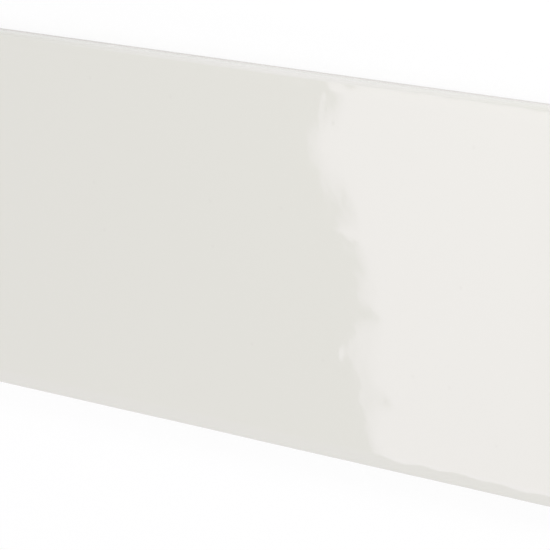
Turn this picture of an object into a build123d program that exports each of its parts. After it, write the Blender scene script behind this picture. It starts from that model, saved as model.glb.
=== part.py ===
"""A glazed ceramic wall tile, 300 x 100 x 8 mm, lying on its back with the glazed face up.

It is one pressed and fired piece. X runs along the tile, Y across it and Z up through it.
The origin is the middle of the back, on the plane that the ribs of the back rest on.
All sizes are in millimetres and degrees.
"""

import os
from math import cos, pi

from build123d import *

# The outside of the tile. The thickness is that of the highest point of its face.
LENGTH = 300.0
WIDTH = 100.0
THICKNESS = 8.0

# The rim of the face: it falls away gently, and then turns over a small arris.
# The same small radius rounds the four upright corners.
RIM_WIDTH = 3.0
RIM_DROP = 0.35
RIM_BLEND_RADIUS = 14.0
ARRIS_RADIUS = 0.7

# The lower part of each side leans in towards the back, so that the die releases the tile.
RELEASE_HEIGHT = 3.6
RELEASE_INSET = 0.4

# The face is slightly uneven, like that of a hand-made tile. Each swell is half its
# height, its wavelength along X, its wavelength along Y and its phase in radians.
SWELLS = (
    (0.050, 190.0, 260.0, 0.6),
    (0.040, 118.0, -150.0, 2.1),
    (0.028, -83.0, 96.0, 4.4),
    (0.020, 61.0, 210.0, 1.3),
)
SURVEY_SPACING = 10.0
SURVEY_OVERHANG = 10.0
SURVEY_TOLERANCE = 0.001

# The back: shallow pockets between ribs, inside a plain border, to key into the adhesive.
BORDER = 7.0
RIB_WIDTH = 2.0
POCKETS_ALONG = 24
POCKETS_ACROSS = 7
POCKET_DEPTH = 0.6
POCKET_DRAFT = 35.0


def face_height(x, y):
    """Height of the uneven face above the back, before its rim is shaped."""
    crest = sum(half_height for half_height, *_ in SWELLS)
    swell = sum(
        half_height * cos(2 * pi * (x / wave_x + y / wave_y) + phase)
        for half_height, wave_x, wave_y, phase in SWELLS
    )
    return THICKNESS - crest + swell


def survey_lines(reach):
    """Evenly spaced places from one side of the tile to the other, and a little past both."""
    reach += SURVEY_OVERHANG
    count = round(2 * reach / SURVEY_SPACING)
    return [-reach + 2 * reach * i / count for i in range(count + 1)]


# The uneven face, as one smooth surface through a survey of its heights.
uneven_face = Face.make_surface_from_array_of_points(
    [[(x, y, face_height(x, y)) for y in survey_lines(WIDTH / 2)] for x in survey_lines(LENGTH / 2)],
    tol=SURVEY_TOLERANCE,
    min_deg=3,
)

with BuildPart() as tile:
    # The pressed slab, trimmed to the uneven face.
    with BuildSketch():
        Rectangle(LENGTH, WIDTH)
    extrude(amount=THICKNESS)
    split(bisect_by=uneven_face, keep=Keep.BOTTOM)

    # The rim: a shallow slope all round the face, blended into it.
    face = tile.faces().sort_by(Axis.Z)[-1]
    chamfer(face.edges(), length=RIM_WIDTH, length2=RIM_DROP, reference=face)
    face = tile.faces().sort_by(Axis.Z)[-1]
    fillet(face.edges(), radius=RIM_BLEND_RADIUS)

    # The arris where the rim meets the sides, rounded together with the upright corners.
    sides = tile.faces().filter_by(lambda side: abs(side.normal_at().Z) < 0.01)
    back_edges = tile.faces().sort_by(Axis.Z)[0].edges()
    fillet([edge for edge in sides.edges() if edge not in back_edges], radius=ARRIS_RADIUS)

    # The lean of the sides towards the back.
    back = tile.faces().sort_by(Axis.Z)[0]
    chamfer(back.edges(), length=RELEASE_INSET, length2=RELEASE_HEIGHT, reference=back)

    # The keyed back: drafted pockets, which leave a lattice of ribs standing.
    pitch_along = (LENGTH - 2 * BORDER + RIB_WIDTH) / POCKETS_ALONG
    pitch_across = (WIDTH - 2 * BORDER + RIB_WIDTH) / POCKETS_ACROSS
    with BuildSketch():
        with GridLocations(pitch_along, pitch_across, POCKETS_ALONG, POCKETS_ACROSS):
            Rectangle(pitch_along - RIB_WIDTH, pitch_across - RIB_WIDTH)
    extrude(amount=POCKET_DEPTH, taper=POCKET_DRAFT, mode=Mode.SUBTRACT)

tile.part.label = "tile"

os.makedirs("parts", exist_ok=True)
export_step(tile.part, "parts/tile.step")
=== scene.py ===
from math import cos, pi, radians, sin, tan

import bpy
import numpy as np
from mathutils import Matrix, Vector


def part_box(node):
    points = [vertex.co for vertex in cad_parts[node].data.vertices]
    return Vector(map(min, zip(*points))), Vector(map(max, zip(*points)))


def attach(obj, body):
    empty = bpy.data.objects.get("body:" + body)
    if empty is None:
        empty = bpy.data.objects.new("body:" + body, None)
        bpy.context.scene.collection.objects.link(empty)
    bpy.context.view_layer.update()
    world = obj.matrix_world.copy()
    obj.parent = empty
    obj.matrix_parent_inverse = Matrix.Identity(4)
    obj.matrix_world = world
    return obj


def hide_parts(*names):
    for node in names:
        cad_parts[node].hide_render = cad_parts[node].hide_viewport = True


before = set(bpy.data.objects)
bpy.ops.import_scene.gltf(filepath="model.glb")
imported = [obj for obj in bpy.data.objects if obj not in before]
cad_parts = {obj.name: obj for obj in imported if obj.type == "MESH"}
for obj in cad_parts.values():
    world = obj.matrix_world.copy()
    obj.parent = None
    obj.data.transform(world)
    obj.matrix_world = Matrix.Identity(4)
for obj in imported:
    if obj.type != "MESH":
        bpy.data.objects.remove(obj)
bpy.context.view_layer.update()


# The tile: one dry-pressed white body with a gloss off-white glaze, fired together in one piece.
# It lies on its back. Its face is slightly uneven and falls away at the rim, the glaze runs over
# the edges and stops part of the way down the sides, and the back is pressed into shallow pockets.
MM = 0.001
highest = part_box("tile")[1]
HALF_LENGTH = highest.x / MM
HALF_WIDTH = highest.y / MM
TOP = highest.z / MM

# The rim slopes down to the edge from a line that wavers, by waves of a length and a phase each.
# The rims of two sides meet in a mitre, sharper the higher its power. One small radius turns the
# arris all round and the four upright corners.
RIM_WIDTH = 3.0
RIM_DROP = 0.35
RIM_BLEND_RADIUS = 14.0
RIM_MITRE = 4
RIM_WAVER = 0.21
RIM_WAVES = ((12.0, 1.1), (44.0, 5.1), (110.0, 5.9))
ARRIS_RADIUS = 0.7

# The long swells of the face: half height, wavelengths along X and Y, and phase.
SWELLS = (
    (0.050, 190.0, 260.0, 0.6),
    (0.040, 118.0, -150.0, 2.1),
    (0.028, -83.0, 96.0, 4.4),
    (0.020, 61.0, 210.0, 1.3),
)

# The low lumps that give the face its hand-made look: middle, reach along X and Y, turn in
# degrees and height.
LUMPS = (
    (6.0, 31.5, 10.0, 8.0, 0.0, 0.046),
    (22.5, 46.0, 6.0, 4.5, 0.0, 0.024),
    (13.6, 44.5, 1.4, 3.2, -12.0, 0.008),
    (27.0, 19.0, 6.0, 6.5, 0.0, 0.024),
    (19.5, 10.4, 4.5, 1.0, 0.0, 0.014),
    (26.5, 9.0, 3.5, 1.1, 0.0, 0.010),
    (29.5, 4.4, 6.0, 4.6, 0.0, 0.018),
    (34.0, -9.0, 5.0, 2.2, 0.0, 0.018),
    (20.0, -21.0, 7.0, 8.0, 0.0, 0.032),
    (19.4, -22.0, 1.5, 3.2, -8.0, 0.019),
    (24.0, -33.0, 3.0, 2.2, 0.0, 0.005),
    (38.5, -31.0, 4.0, 2.6, 0.0, 0.030),
    (35.0, -45.0, 7.0, 5.0, 0.0, 0.022),
)

# The fine ripple of the fired glaze.
RIPPLES = 26
RIPPLE_SEED = 7
RIPPLE_HEIGHT = 0.00015
RIPPLE_LENGTHS = (5.0, 11.0)


def unevenness(x, y):
    """How the face rises and falls before its rim is shaped, in millimetres like all its sizes."""
    height = np.zeros_like(x)
    for half_height, wave_x, wave_y, phase in SWELLS:
        height += half_height * np.cos(2 * pi * (x / wave_x + y / wave_y) + phase)
    for middle_x, middle_y, reach_x, reach_y, turn, lump_height in LUMPS:
        turn_x = cos(radians(turn))
        turn_y = sin(radians(turn))
        lengthwise = ((x - middle_x) * turn_x + (y - middle_y) * turn_y) / reach_x
        crosswise = ((y - middle_y) * turn_x - (x - middle_x) * turn_y) / reach_y
        height += lump_height * np.exp(-lengthwise ** 2 - crosswise ** 2)
    dice = np.random.default_rng(RIPPLE_SEED)
    for _ in range(RIPPLES):
        length = dice.uniform(*RIPPLE_LENGTHS)
        heading = dice.uniform(0, pi)
        phase = dice.uniform(0, 2 * pi)
        travelled = x * cos(heading) + y * sin(heading)
        height += RIPPLE_HEIGHT * np.cos(2 * pi * travelled / length + phase)
    return height


def rim_waver(distance):
    """How far the start of the rim wanders off its line, at a distance along the tile's side."""
    waves = [np.cos(2 * pi * distance / length + phase) for length, phase in RIM_WAVES]
    return RIM_WAVER * np.sum(waves, 0)


def rim_drop(inward):
    """How far the rim has fallen at a distance inward from the edge."""
    slope = RIM_DROP / RIM_WIDTH
    blend_half = RIM_BLEND_RADIUS * slope / 2
    bend = np.clip(RIM_WIDTH + blend_half - inward, 0, 2 * blend_half)
    straight = np.clip(RIM_WIDTH - blend_half - inward, 0, None)
    return bend ** 2 / (2 * RIM_BLEND_RADIUS) + straight * slope


# The grid of the face has a line for each 15 degrees that the arris turns, then lines at set
# distances in from the edge over the rim, and evenly spaced ones over the rest.
ARRIS_TURNS = np.radians(range(0, 90, 15))
RIM_LINES = (0.7, 1.1, 1.5, 1.9, 2.3, 2.7, 3.1, 3.5, 3.9, 4.6)
GRID_SPACING = 0.85


def spread_lines(half):
    """The grid lines from one edge of the face to the other, for half the distance between them."""
    edge = np.concatenate([ARRIS_RADIUS * (1 - np.cos(ARRIS_TURNS)), RIM_LINES])
    inner = half - edge[-1]
    middle = np.linspace(-inner, inner, round(2 * inner / GRID_SPACING) + 1)
    return np.concatenate([-half + edge[:-1], middle, half - edge[-2::-1]])


# The grid's own corners are drawn in from a square to the small radius of the upright corners.
lines_x = spread_lines(HALF_LENGTH)
lines_y = spread_lines(HALF_WIDTH)
grid_x, grid_y = np.meshgrid(lines_x, lines_y, indexing="ij")
corner_x = HALF_LENGTH - ARRIS_RADIUS
corner_y = HALF_WIDTH - ARRIS_RADIUS
past_x = np.clip(np.abs(grid_x) - corner_x, 0, None) / ARRIS_RADIUS
past_y = np.clip(np.abs(grid_y) - corner_y, 0, None) / ARRIS_RADIUS
round_x = past_x * np.sqrt(1 - past_y ** 2 / 2)
round_y = past_y * np.sqrt(1 - past_x ** 2 / 2)
face_x = np.where(past_x > 0, np.sign(grid_x) * (corner_x + ARRIS_RADIUS * round_x), grid_x)
face_y = np.where(past_y > 0, np.sign(grid_y) * (corner_y + ARRIS_RADIUS * round_y), grid_y)

# The height of the face: uneven, less the rims of its sides, which meet in a soft mitre at the
# corners, and less the arris.
in_from_end = HALF_LENGTH - np.abs(face_x)
in_from_side = HALF_WIDTH - np.abs(face_y)
waver = rim_waver(face_x + face_y)
rim_x = rim_drop(in_from_end - waver)
rim_y = rim_drop(in_from_side - waver)
rim = (rim_x ** RIM_MITRE + rim_y ** RIM_MITRE) ** (1 / RIM_MITRE)
over_arris = np.clip(np.hypot(round_x, round_y), 0, 1)
arris = ARRIS_RADIUS * (1 - np.sqrt(1 - over_arris ** 2))
relief = unevenness(face_x, face_y) - rim
face_z = TOP - relief.max() + relief - arris


def grid_faces(numbers):
    """The four-sided faces of a grid of vertex numbers, turned to face up."""
    corners = numbers[:-1, :-1], numbers[1:, :-1], numbers[1:, 1:], numbers[:-1, 1:]
    return np.stack(corners, -1).reshape(-1, 4).tolist()


def outer_loop(numbers):
    """The vertex numbers round the outside of a grid, anticlockwise from its first corner."""
    sides = numbers[:-1, 0], numbers[-1, :-1], numbers[:0:-1, -1], numbers[0, :0:-1]
    return np.concatenate(sides)


face_numbers = np.arange(face_x.size).reshape(face_x.shape)
vertices = [np.stack([face_x, face_y, face_z], -1).reshape(-1, 3)]
faces = grid_faces(face_numbers)
edge_loop = outer_loop(face_numbers)
edge = vertices[0][edge_loop]
inward_point = np.clip(edge[:, :2], (-corner_x, -corner_y), (corner_x, corner_y))
outward = (edge[:, :2] - inward_point) / ARRIS_RADIUS

# The sides lean in below the release height, down to a tiny arris at the back, and never by the
# whole radius of a corner. The glaze stops at a wavering line, of waves that fit a whole number
# of times round the tile, and its soft edge stands proud of the body.
RELEASE_HEIGHT = 3.6
RELEASE_INSET = 0.4
BACK_ARRIS = 0.15
MOST_INSET = 0.95 * ARRIS_RADIUS
GLAZE_STOP = 4.1
GLAZE_WAVER = 0.45
GLAZE_WAVES = 7
GLAZE_WAVES_ROUND = (3, 40)
GLAZE_SEED = 12
GLAZE_THICKNESS = 0.12
GLAZE_ROUNDING = 0.35
SIDE_LEVELS = (
    6.4, 5.8, 5.3, 4.9, 4.6, 4.3, 4.0, 3.7, 3.4, 3.1, 2.6, 1.8, 1.0,
    0.5, 0.25, 0.15, 0.07, 0.02, 0.0,
)

steps = np.hypot(*(np.roll(edge[:, :2], -1, 0) - edge[:, :2]).T)
around = np.concatenate([[0], np.cumsum(steps)[:-1]]) / steps.sum()
dice = np.random.default_rng(GLAZE_SEED)
glaze_line = np.full(len(edge), GLAZE_STOP)
for _ in range(GLAZE_WAVES):
    waves = dice.integers(*GLAZE_WAVES_ROUND)
    glaze_line += GLAZE_WAVER / GLAZE_WAVES * np.cos(2 * pi * (waves * around + dice.uniform()))

# How far each vertex is from the glaze's edge along the surface: it grows up the side and over
# the rim, up to a reach past which nothing depends on it, and it is below zero on the bare body.
FACE_REACH = 12.0
in_from_edge = np.minimum(in_from_end, in_from_side).ravel()
glaze_reaches = [edge[:, 2].mean() - GLAZE_STOP + np.clip(in_from_edge, 0, FACE_REACH)]
glaze_reaches[0][edge_loop] = edge[:, 2] - glaze_line

loops = [edge_loop]
for level in SIDE_LEVELS:
    bare = np.clip((glaze_line - level) / GLAZE_ROUNDING + 0.5, 0, 1)
    inset = GLAZE_THICKNESS * bare * bare * (3 - 2 * bare)
    inset += RELEASE_INSET * max(0, RELEASE_HEIGHT - level) / RELEASE_HEIGHT
    arris_turn = max(0, BACK_ARRIS - level) / BACK_ARRIS
    inset += BACK_ARRIS * (1 - np.sqrt(1 - arris_turn ** 2))
    ring = edge.copy()
    ring[:, :2] -= outward * np.minimum(inset, MOST_INSET)[:, None]
    ring[:, 2] = level
    start = sum(len(part) for part in vertices)
    loops.append(np.arange(start, start + len(ring)))
    vertices.append(ring)
    glaze_reaches.append(level - glaze_line)
for above, below in zip(loops, loops[1:]):
    quads = below, np.roll(below, -1), np.roll(above, -1), above
    faces += np.stack(quads, -1).tolist()

# The back: drafted pockets between ribs, inside a plain border, all with softened edges. The
# press leaves faint waves, each given by the lengths along X and Y that turn it by one radian.
BORDER = 7.0
RIB_WIDTH = 2.0
POCKETS_ALONG = 24
POCKETS_ACROSS = 7
POCKET_DEPTH = 0.6
POCKET_DRAFT = radians(35)
SOFT_EDGE = 0.15
SOFT_DEPTHS = (1, 1, 0.93, 0.07, 0)
PRESS_MARK = 0.03
PRESS_WAVES = ((31, 17), (-43, 23))


def pocket_lines(half, count):
    """Grid lines over a row of pockets, and how deep the row is at each of them."""
    pitch = (2 * half - 2 * BORDER + RIB_WIDTH) / count
    mouth = (pitch - RIB_WIDTH) / 2
    foot = mouth - POCKET_DEPTH * tan(POCKET_DRAFT)
    places = (0, foot - SOFT_EDGE, foot, mouth, mouth + SOFT_EDGE)
    pocket = [-place for place in places[:0:-1]] + list(places)
    depth = SOFT_DEPTHS[:0:-1] + SOFT_DEPTHS
    middles = (np.arange(count) - (count - 1) / 2) * pitch
    lines = (middles[:, None] + np.array(pocket)).ravel()
    return (
        np.concatenate([[middles[0] - pitch / 2], lines, [middles[-1] + pitch / 2]]),
        np.concatenate([[0], np.tile(depth, count), [0]]),
    )


back_lines_x, depth_x = pocket_lines(HALF_LENGTH, POCKETS_ALONG)
back_lines_y, depth_y = pocket_lines(HALF_WIDTH, POCKETS_ACROSS)
back_x, back_y = np.meshgrid(back_lines_x, back_lines_y, indexing="ij")
pocket_depth = np.minimum(depth_x[:, None], depth_y[None, :])
marks = [np.cos(back_x / length_x + back_y / length_y) for length_x, length_y in PRESS_WAVES]
press = np.prod(marks, 0)
back_z = POCKET_DEPTH * pocket_depth + PRESS_MARK * (1 + press) / 2
back_z[[0, -1], :] = 0
back_z[:, [0, -1]] = 0
start = sum(len(part) for part in vertices)
vertices.append(np.stack([back_x, back_y, back_z], -1).reshape(-1, 3))
glaze_reaches.append(np.full(back_x.size, -TOP))
back_numbers = start + np.arange(back_x.size).reshape(back_x.shape)
faces += [quad[::-1] for quad in grid_faces(back_numbers)]


def loop_places(loop, points):
    """The share of the way round at which each vertex of a closed loop stands."""
    loop_points = points[loop][:, :2]
    lengths = np.hypot(*(np.roll(loop_points, -1, 0) - loop_points).T)
    return np.concatenate([[0], np.cumsum(lengths)]) / lengths.sum()


def stitch(outer, inner, points):
    """Triangles that fill the flat border between two loops which start at the same corner."""
    outer_places = loop_places(outer, points)
    inner_places = loop_places(inner, points)
    outer = outer.tolist()
    inner = inner.tolist()
    triangles = []
    i = j = 0
    while i < len(outer) or j < len(inner):
        here = [outer[i % len(outer)], inner[j % len(inner)]]
        if j == len(inner) or (i < len(outer) and outer_places[i + 1] <= inner_places[j + 1]):
            i += 1
            triangles.append(here + [outer[i % len(outer)]])
        else:
            j += 1
            triangles.append(here + [inner[j % len(inner)]])
    return triangles


all_vertices = np.concatenate(vertices)
faces += stitch(loops[-1], outer_loop(back_numbers), all_vertices)

tile_mesh = bpy.data.meshes.new("glazed_tile")
tile_mesh.from_pydata((all_vertices * MM).tolist(), [], faces)
glaze_reach = tile_mesh.attributes.new("glaze_reach", "FLOAT", "POINT")
glaze_reach.data.foreach_set("value", np.concatenate(glaze_reaches).astype(np.float32))
tile_mesh.shade_smooth()
tile_mesh.update()
tile = bpy.data.objects.new("glazed_tile", tile_mesh)
bpy.context.collection.objects.link(tile)


class Shade:
    """A value in a material: arithmetic on it adds Math nodes, and node() adds any other."""

    def __init__(self, socket):
        self.socket = socket

    @staticmethod
    def node(tree, kind, settings, inputs, output=0):
        """One node: its settings first, then the numbers or links of its sockets."""
        made = tree.nodes.new(kind)
        for name, value in settings.items():
            setattr(made, name, value)
        for name, value in inputs.items():
            if isinstance(value, Shade):
                tree.links.new(value.socket, made.inputs[name])
            else:
                made.inputs[name].default_value = value
        return Shade(made.outputs[output]) if made.outputs else None

    def math(self, operation, *values, clamped=False):
        """One Math node on the values, or on this value alone."""
        settings = {"operation": operation, "use_clamp": clamped}
        inputs = dict(enumerate(values or (self,)))
        return Shade.node(self.socket.id_data, "ShaderNodeMath", settings, inputs)

    def __add__(self, other):
        return self.math("ADD", self, other)

    def __radd__(self, other):
        return self.math("ADD", other, self)

    def __sub__(self, other):
        return self.math("SUBTRACT", self, other)

    def __rsub__(self, other):
        return self.math("SUBTRACT", other, self)

    def __mul__(self, other):
        return self.math("MULTIPLY", self, other)

    def __rmul__(self, other):
        return self.math("MULTIPLY", other, self)

    def __truediv__(self, other):
        return self.math("DIVIDE", self, other)

    def __rtruediv__(self, other):
        return self.math("DIVIDE", other, self)

    def held(self):
        """The value, kept between 0 and 1."""
        return self.math("MULTIPLY", self, 1, clamped=True)

    def below(self, limit):
        """1 where the value is below a limit, and 0 elsewhere."""
        return self.math("LESS_THAN", self, limit)

    def ramp(self, start, full):
        """0 where the value is at its start or before it, and 1 from where it is full."""
        return ((self - start) / (full - start)).held()

    def band(self, middle, half_width):
        """1 where the value is at the middle of a soft band, and 0 past its half width."""
        distance = (self - middle) / half_width
        return (1 - distance * distance).held()


# The glaze and the bare body, as one material. It knows where the glaze ends from glaze_reach,
# the distance in millimetres along the surface from the glaze's edge, below zero on the body.
# Along, across and height are in millimetres too, and clouds and cells are so many to the metre.
GLAZE_COLOUR = (0.768, 0.765, 0.705, 1)
# The thin glaze's colour over the arris, and also painted light on the lower long side's rim.
THIN_GLAZE_AND_RIM_LIGHT_COLOUR = (0.790, 0.780, 0.745, 1)
POOLED_GLAZE_COLOUR = (0.740, 0.730, 0.650, 1)
BISCUIT_COLOUR = (0.840, 0.824, 0.802, 1)
DARKER_BISCUIT_COLOUR = (0.660, 0.645, 0.618, 1)
SCUFFED_COLOUR = (0.560, 0.548, 0.530, 1)
PORE_COLOUR = (0.520, 0.490, 0.450, 1)
GLOSS_ROUGHNESS = 0.023
BISCUIT_ROUGHNESS = 0.82
glaze = bpy.data.materials.new("gloss_glaze_on_white_biscuit")
glaze.use_nodes = True
glaze_tree = glaze.node_tree
glaze_tree.nodes.clear()
settings = {"attribute_name": "glaze_reach"}
reached = Shade.node(glaze_tree, "ShaderNodeAttribute", settings, {}, "Fac")
place = Shade.node(glaze_tree, "ShaderNodeTexCoord", {}, {}, "Object")
along, across, height = (
    Shade.node(glaze_tree, "ShaderNodeSeparateXYZ", {}, {"Vector": place}, axis) / MM
    for axis in "XYZ"
)


def noise(clouds, detail, vector=place):
    """A cloudy value round 0.5."""
    inputs = {"Vector": vector, "Scale": clouds, "Detail": detail}
    return Shade.node(glaze_tree, "ShaderNodeTexNoise", {}, inputs)


def cells(count, dimensions, output):
    """A value of a scatter of points: the distance to the nearest, or that point's own colour."""
    settings = {"voronoi_dimensions": dimensions}
    inputs = {"Vector": place, "Scale": count}
    return Shade.node(glaze_tree, "ShaderNodeTexVoronoi", settings, inputs, output)


# The Mix node's sockets for its two colours, and its output for the mixed one.
FIRST_COLOUR, SECOND_COLOUR, MIXED_COLOUR = 6, 7, 2


def blend(share, first, second):
    """The first colour, and the second in its place by a share of 0 to 1."""
    inputs = {"Factor": share, FIRST_COLOUR: first, SECOND_COLOUR: second}
    return Shade.node(glaze_tree, "ShaderNodeMix", {"data_type": "RGBA"}, inputs, MIXED_COLOUR)


# The glaze's edge breaks up over the grain of the biscuit.
EDGE_WIDTH = 0.08
EDGE_CLOUDS = 2200
EDGE_BREAKS = 0.8
glazed = (reached / EDGE_WIDTH + 0.5 + (noise(EDGE_CLOUDS, 3) - 0.5) * EDGE_BREAKS).held()

# A few pinholes in the face, each a shallow dimple with a slightly darker foot. They start past
# the arris.
PINHOLE_CELLS = 80
PINHOLES_KEPT = 0.24
PINHOLE_RADIUS = 0.7
PINHOLE_START = (4.5, 6.5)
PINHOLE_SHARE = 0.1
spot = cells(PINHOLE_CELLS, "2D", "Distance").ramp(PINHOLE_RADIUS * MM * PINHOLE_CELLS, 0)
kept = cells(PINHOLE_CELLS, "2D", "Color").below(PINHOLES_KEPT)
pinhole = spot * kept * reached.ramp(*PINHOLE_START)

# The glaze's white varies a little, by two sizes of cloud. Bands lighten it, each given by its
# middle and half width: thin glaze over the arris, painted light on the rim of the long side that
# is lower in the picture, and painted light in the biscuit's white below the arris of the upper
# one, midway along. It gathers at its own edge.
CLOUDS = ((38, 0.5), (320, 0.25))
CLOUD_START = 0.375
CLOUD_SHARE = 0.25
ARRIS_BAND = (3.0, 0.7)
ARRIS_SHARE = 0.3
# The rim band is painted light on the rim of the lower long side.
PAINTED_RIM_LIGHT_BAND = (4.7, 2.4)
PAINTED_RIM_LIGHT_SHARE = 0.4
# The upper band, midway along, is painted light on the upper side.
PAINTED_UPPER_LIGHT_BAND = (2.5, 1.3)
PAINTED_UPPER_LIGHT_MIDWAY = (0, 84.5)
PAINTED_UPPER_LIGHT_SHARE = 0.7
POOL_REACH = 0.7
POOL_SHARE = 0.6
coarse, fine = (noise(clouds, 2) * strength for clouds, strength in CLOUDS)
cloud = (coarse + fine - CLOUD_START).held()
lower = (0.5 - across / (2 * HALF_WIDTH)).held()
# Thin glaze over the arris, and painted light on the rim of the lower long side.
thin_glaze_and_rim_light = reached.band(*ARRIS_BAND) * ARRIS_SHARE + reached.band(*PAINTED_RIM_LIGHT_BAND) * lower * PAINTED_RIM_LIGHT_SHARE
# Painted light: the upper side is lighter below its arris, midway along, in the biscuit's white.
painted_upper_side_light = reached.band(*PAINTED_UPPER_LIGHT_BAND) * (1 - lower) * along.band(*PAINTED_UPPER_LIGHT_MIDWAY)
pooled = reached.ramp(POOL_REACH, 0)
glaze_colour = blend(cloud * CLOUD_SHARE, GLAZE_COLOUR, POOLED_GLAZE_COLOUR)
glaze_colour = blend(thin_glaze_and_rim_light, glaze_colour, THIN_GLAZE_AND_RIM_LIGHT_COLOUR)
glaze_colour = blend(painted_upper_side_light * PAINTED_UPPER_LIGHT_SHARE, glaze_colour, BISCUIT_COLOUR)
glaze_colour = blend(pooled * POOL_SHARE, glaze_colour, POOLED_GLAZE_COLOUR)
glaze_colour = blend(pinhole * PINHOLE_SHARE, glaze_colour, PORE_COLOUR)

# The biscuit is chalky, with a fine grain and pores in patches, their radius a share of a cell.
# The die has drawn faint upright marks down its sides, and it is darker low down, in cloudy
# patches.
GRAIN_CLOUDS = 2600
GRAIN_START = 0.35
GRAIN_SHARE = 0.35
PORE_CELLS = 1900
PORE_RADIUS = 0.36
PORE_PATCHES = 500
PORE_PATCH_EDGE = (0.46, 0.66)
PORE_SHARE = 0.7
DRAG_CLOUDS = 1300
DRAG_STRETCH = (1, 1, 0.05)
DRAG_EDGE = (0.52, 0.77)
DRAG_SHARE = 0.2
LOW_DARKENING_CLOUDS = 90
LOW_DARKENING_EDGE = (0.281, 0.906)
LOW_DARKENING_HEIGHT = 2.4
LOW_DARKENING_SHARE = 0.5
LOW_DARKENING_LEAST = 0.35
grain = noise(GRAIN_CLOUDS, 3)
patch = noise(PORE_PATCHES, 2).ramp(*PORE_PATCH_EDGE)
pore = cells(PORE_CELLS, "3D", "Distance").ramp(PORE_RADIUS, 0) * patch
inputs = {0: place, 1: DRAG_STRETCH}
stretched = Shade.node(glaze_tree, "ShaderNodeVectorMath", {"operation": "MULTIPLY"}, inputs)
drag = noise(DRAG_CLOUDS, 2, stretched).ramp(*DRAG_EDGE)
low_patches = noise(LOW_DARKENING_CLOUDS, 4).ramp(*LOW_DARKENING_EDGE) * LOW_DARKENING_SHARE + LOW_DARKENING_LEAST
# The biscuit is darker low down, in cloudy patches.
darker_low_down = (height.ramp(LOW_DARKENING_HEIGHT, 0) * low_patches).held()

# The ribs of the back are scuffed, and banded by the rollers of the kiln.
RIB_HEIGHT = 0.3
ROLLER_PITCH = 47.0
ROLLER_DRIFT = 2.2
ROLLER_DRIFT_CLOUDS = 30
ROLLER_SHARE = 0.5
SCUFF_CLOUDS = 220
SCUFF_START = 0.4
SCUFF_STRENGTH = 2
SCUFF_SHARE = 0.45
drift = noise(ROLLER_DRIFT_CLOUDS, 2) * ROLLER_DRIFT
roller = (along * (2 * pi / ROLLER_PITCH) + drift).math("SINE") * 0.5 + 0.5
rubbed = (noise(SCUFF_CLOUDS, 3) - SCUFF_START).held() * SCUFF_STRENGTH
scuff = height.ramp(RIB_HEIGHT, 0) * (roller * ROLLER_SHARE + rubbed)
dull = (grain - GRAIN_START).held() * GRAIN_SHARE + drag * DRAG_SHARE
biscuit_colour = blend(darker_low_down, BISCUIT_COLOUR, DARKER_BISCUIT_COLOUR)
biscuit_colour = blend((scuff * SCUFF_SHARE).held(), biscuit_colour, SCUFFED_COLOUR)
biscuit_colour = blend(dull, biscuit_colour, DARKER_BISCUIT_COLOUR)
biscuit_colour = blend(pore * PORE_SHARE, biscuit_colour, PORE_COLOUR)

# The gloss is dulled a little by smears and in the pinholes. The fired glaze has a faint peel,
# and the bare body has its grain, pores and drag marks as relief, as shares of one small height.
SMEAR_CLOUDS = 24
SMEAR_START = 0.35
SMEAR_DULLING = 0.010
PINHOLE_DULLING = 0.05
PEEL_CLOUDS = 420
PEEL_RELIEF = 0.14
PINHOLE_RELIEF = 0.35
GRAIN_RELIEF = 0.7
PORE_RELIEF = 1.6
DRAG_RELIEF = 0.5
RELIEF_HEIGHT = 0.04 * MM
RELIEF_STRENGTH = 0.6
GLAZE_IOR = 1.5
smear = (noise(SMEAR_CLOUDS, 3) - SMEAR_START).held() * SMEAR_DULLING
gloss = GLOSS_ROUGHNESS + (smear + pinhole * PINHOLE_DULLING)
body_relief = grain * GRAIN_RELIEF - pore * PORE_RELIEF - drag * DRAG_RELIEF
peel = glazed * noise(PEEL_CLOUDS, 1) * PEEL_RELIEF
inputs = {
    "Height": (1 - glazed) * body_relief - pinhole * PINHOLE_RELIEF + peel,
    "Distance": RELIEF_HEIGHT,
    "Strength": RELIEF_STRENGTH,
}
bump = Shade.node(glaze_tree, "ShaderNodeBump", {}, inputs, "Normal")
inputs = {
    "Base Color": blend(glazed, biscuit_colour, glaze_colour),
    "Roughness": BISCUIT_ROUGHNESS + glazed * (gloss - BISCUIT_ROUGHNESS),
    "Normal": bump,
    "IOR": GLAZE_IOR,
}
surface = Shade.node(glaze_tree, "ShaderNodeBsdfPrincipled", {}, inputs)
Shade.node(glaze_tree, "ShaderNodeOutputMaterial", {}, {"Surface": surface})
tile.data.materials.append(glaze)

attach(tile, "root")
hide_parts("tile")


# The floor: plain pale board under and round the tile, a hair below its ribs. To the camera, in
# reflections and through glass it is white, and the tile's own soft shadow is left on it. Its
# sizes are in metres, as are those of everything else that stands round the tile.
FLOOR_HALF = 6.0
FLOOR_GAP = 0.00005
BOARD_COLOUR = (0.86, 0.86, 0.86, 1)
WHITE = (1, 1, 1, 1)
WHITE_STRENGTH = 1.035
SHADOW_SHARE = 0.18
corners = [(-1, -1), (1, -1), (1, 1), (-1, 1)]
floor_points = [(FLOOR_HALF * x, FLOOR_HALF * y, 0) for x, y in corners]
floor_mesh = bpy.data.meshes.new("floor")
floor_mesh.from_pydata(floor_points, [], [(0, 1, 2, 3)])
floor = bpy.data.objects.new("floor", floor_mesh)
bpy.context.collection.objects.link(floor)
floor.location.z = -FLOOR_GAP


def looked_at(tree):
    """1 where the camera looks, straight, in a mirror or through glass, and 0 for lighting."""
    rays = ("Is Camera Ray", "Is Glossy Ray", "Is Transmission Ray")
    straight, mirrored, through = (
        Shade.node(tree, "ShaderNodeLightPath", {}, {}, ray) for ray in rays
    )
    return (straight + mirrored + through).held()


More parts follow.
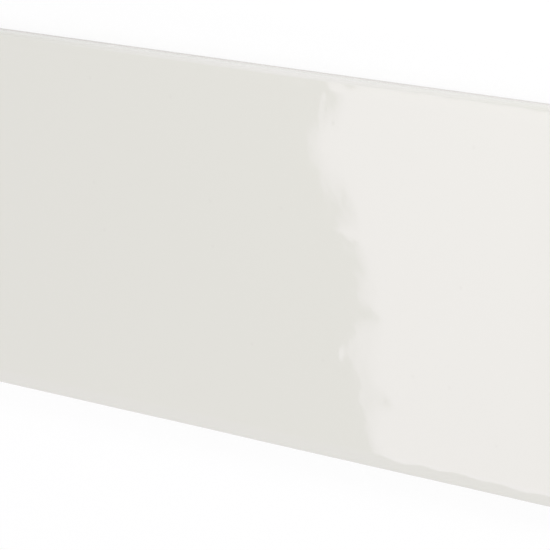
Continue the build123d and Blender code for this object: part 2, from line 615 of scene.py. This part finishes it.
def mix_shaders(tree, share, first, second):
    """The first shader, and the second in its place by a share of 0 to 1."""
    inputs = dict(enumerate((share, first, second)))
    return Shade.node(tree, "ShaderNodeMixShader", {}, inputs)


board = bpy.data.materials.new("pale_board")
board.use_nodes = True
board_tree = board.node_tree
board_tree.nodes.clear()
plain = Shade.node(board_tree, "ShaderNodeBsdfDiffuse", {}, {"Color": BOARD_COLOUR})
inputs = {"Color": WHITE, "Strength": WHITE_STRENGTH}
white = Shade.node(board_tree, "ShaderNodeEmission", {}, inputs)
shown = mix_shaders(board_tree, SHADOW_SHARE, white, plain)
surface = mix_shaders(board_tree, looked_at(board_tree), plain, shown)
Shade.node(board_tree, "ShaderNodeOutputMaterial", {}, {"Surface": surface})
floor.data.materials.append(board)


# The room: white walls all round, full white to the camera and in the glaze, and a little dimmer
# in the light that they give.
ROOM_LIGHT = 0.689
room = bpy.data.worlds.new("white_room")
room.use_nodes = True
room_tree = room.node_tree
room_tree.nodes.clear()
strength = ROOM_LIGHT + looked_at(room_tree) * (1 - ROOM_LIGHT)
walls = Shade.node(room_tree, "ShaderNodeBackground", {}, {"Color": WHITE, "Strength": strength})
Shade.node(room_tree, "ShaderNodeOutputWorld", {}, {"Surface": walls})
bpy.context.scene.world = room


# The soft box: a panel of white cloth hung over the tile, with the side that is away from the
# camera bowed. Its mirror image lies on the right half of the face. The cloth glows less along
# the bowed side.
SOFT_BOX_HEIGHT = 0.900
BOWED_SIDE = ((-0.592, 0.110), (-0.616, -0.175), (-0.570, -0.516))
STRAIGHT_SIDE = ((-0.230, -0.552), (-0.230, 0.110))
SOFT_BOX_HEM = 0.012
HEM_GLOW = 0.5
SOFT_BOX_RADIANCE = 3.22
CLOTH_COLOUR = (0.905, 0.850, 0.955, 1)
bowed = [(x, y, SOFT_BOX_HEIGHT) for x, y in BOWED_SIDE]
hem = [(x + SOFT_BOX_HEM, y, SOFT_BOX_HEIGHT) for x, y in BOWED_SIDE]
straight = [(x, y, SOFT_BOX_HEIGHT) for x, y in STRAIGHT_SIDE]
cloth_points = bowed + hem + straight
soft_box_mesh = bpy.data.meshes.new("soft_box")
soft_box_mesh.from_pydata(cloth_points, [], [(0, 1, 4, 3), (1, 2, 5, 4), (3, 4, 5, 6, 7)])
glow = soft_box_mesh.attributes.new("glow", "FLOAT", "POINT")
glow.data.foreach_set("value", [HEM_GLOW] * len(bowed) + [1.0] * len(hem + straight))
soft_box = bpy.data.objects.new("soft_box", soft_box_mesh)
bpy.context.collection.objects.link(soft_box)
soft_box.visible_camera = False
cloth = bpy.data.materials.new("lit_cloth")
cloth.use_nodes = True
cloth_tree = cloth.node_tree
cloth_tree.nodes.clear()
cloth_glow = Shade.node(cloth_tree, "ShaderNodeAttribute", {"attribute_name": "glow"}, {}, "Fac")
inputs = {"Color": CLOTH_COLOUR, "Strength": 1 + cloth_glow * (SOFT_BOX_RADIANCE - 1)}
surface = Shade.node(cloth_tree, "ShaderNodeEmission", {}, inputs)
Shade.node(cloth_tree, "ShaderNodeOutputMaterial", {}, {"Surface": surface})
soft_box.data.materials.append(cloth)


# The fill lamps: small soft lamps that stand low beyond the tile's two long sides, so that
# neither side is left dim. Each has its name, its place and its power.
FILL_LAMPS = (
    ("far_fill", (0.34, 0.38, 0.30), 0.90),
    ("near_fill", (0.20, -0.75, 0.45), 0.75),
)
FILL_SIZE = 0.2
for name, fill_place, power in FILL_LAMPS:
    fill = bpy.data.lights.new(name, "AREA")
    fill.size = FILL_SIZE
    fill.energy = power
    lamp = bpy.data.objects.new(name, fill)
    bpy.context.collection.objects.link(lamp)
    lamp.location = fill_place
    lamp.rotation_euler = Vector(fill_place).to_track_quat("Z", "Y").to_euler()
    lamp.visible_camera = False


# The camera: a long lens that looks down on the face at a slant, with the tile's width upright in
# the picture and its long edges running out of the picture at both ends.
LENS = 196.4
SENSOR_WIDTH = 36
CAMERA_PLACE = Vector((0.4463, 0.1937, 0.6122))
CAMERA_AIM = Vector((0.0, -0.00358, 0.008))
camera_data = bpy.data.cameras.new("camera")
camera_data.lens = LENS
camera_data.sensor_width = SENSOR_WIDTH
camera = bpy.data.objects.new("camera", camera_data)
bpy.context.collection.objects.link(camera)
backward = (CAMERA_PLACE - CAMERA_AIM).normalized()
rightward = Vector((0, 1, 0)).cross(backward).normalized()
upward = backward.cross(rightward)
turned = Matrix((rightward, upward, backward)).transposed().to_4x4()
camera.matrix_world = Matrix.Translation(CAMERA_PLACE) @ turned
bpy.context.scene.camera = camera
bpy.context.scene.view_settings.view_transform = "Standard"
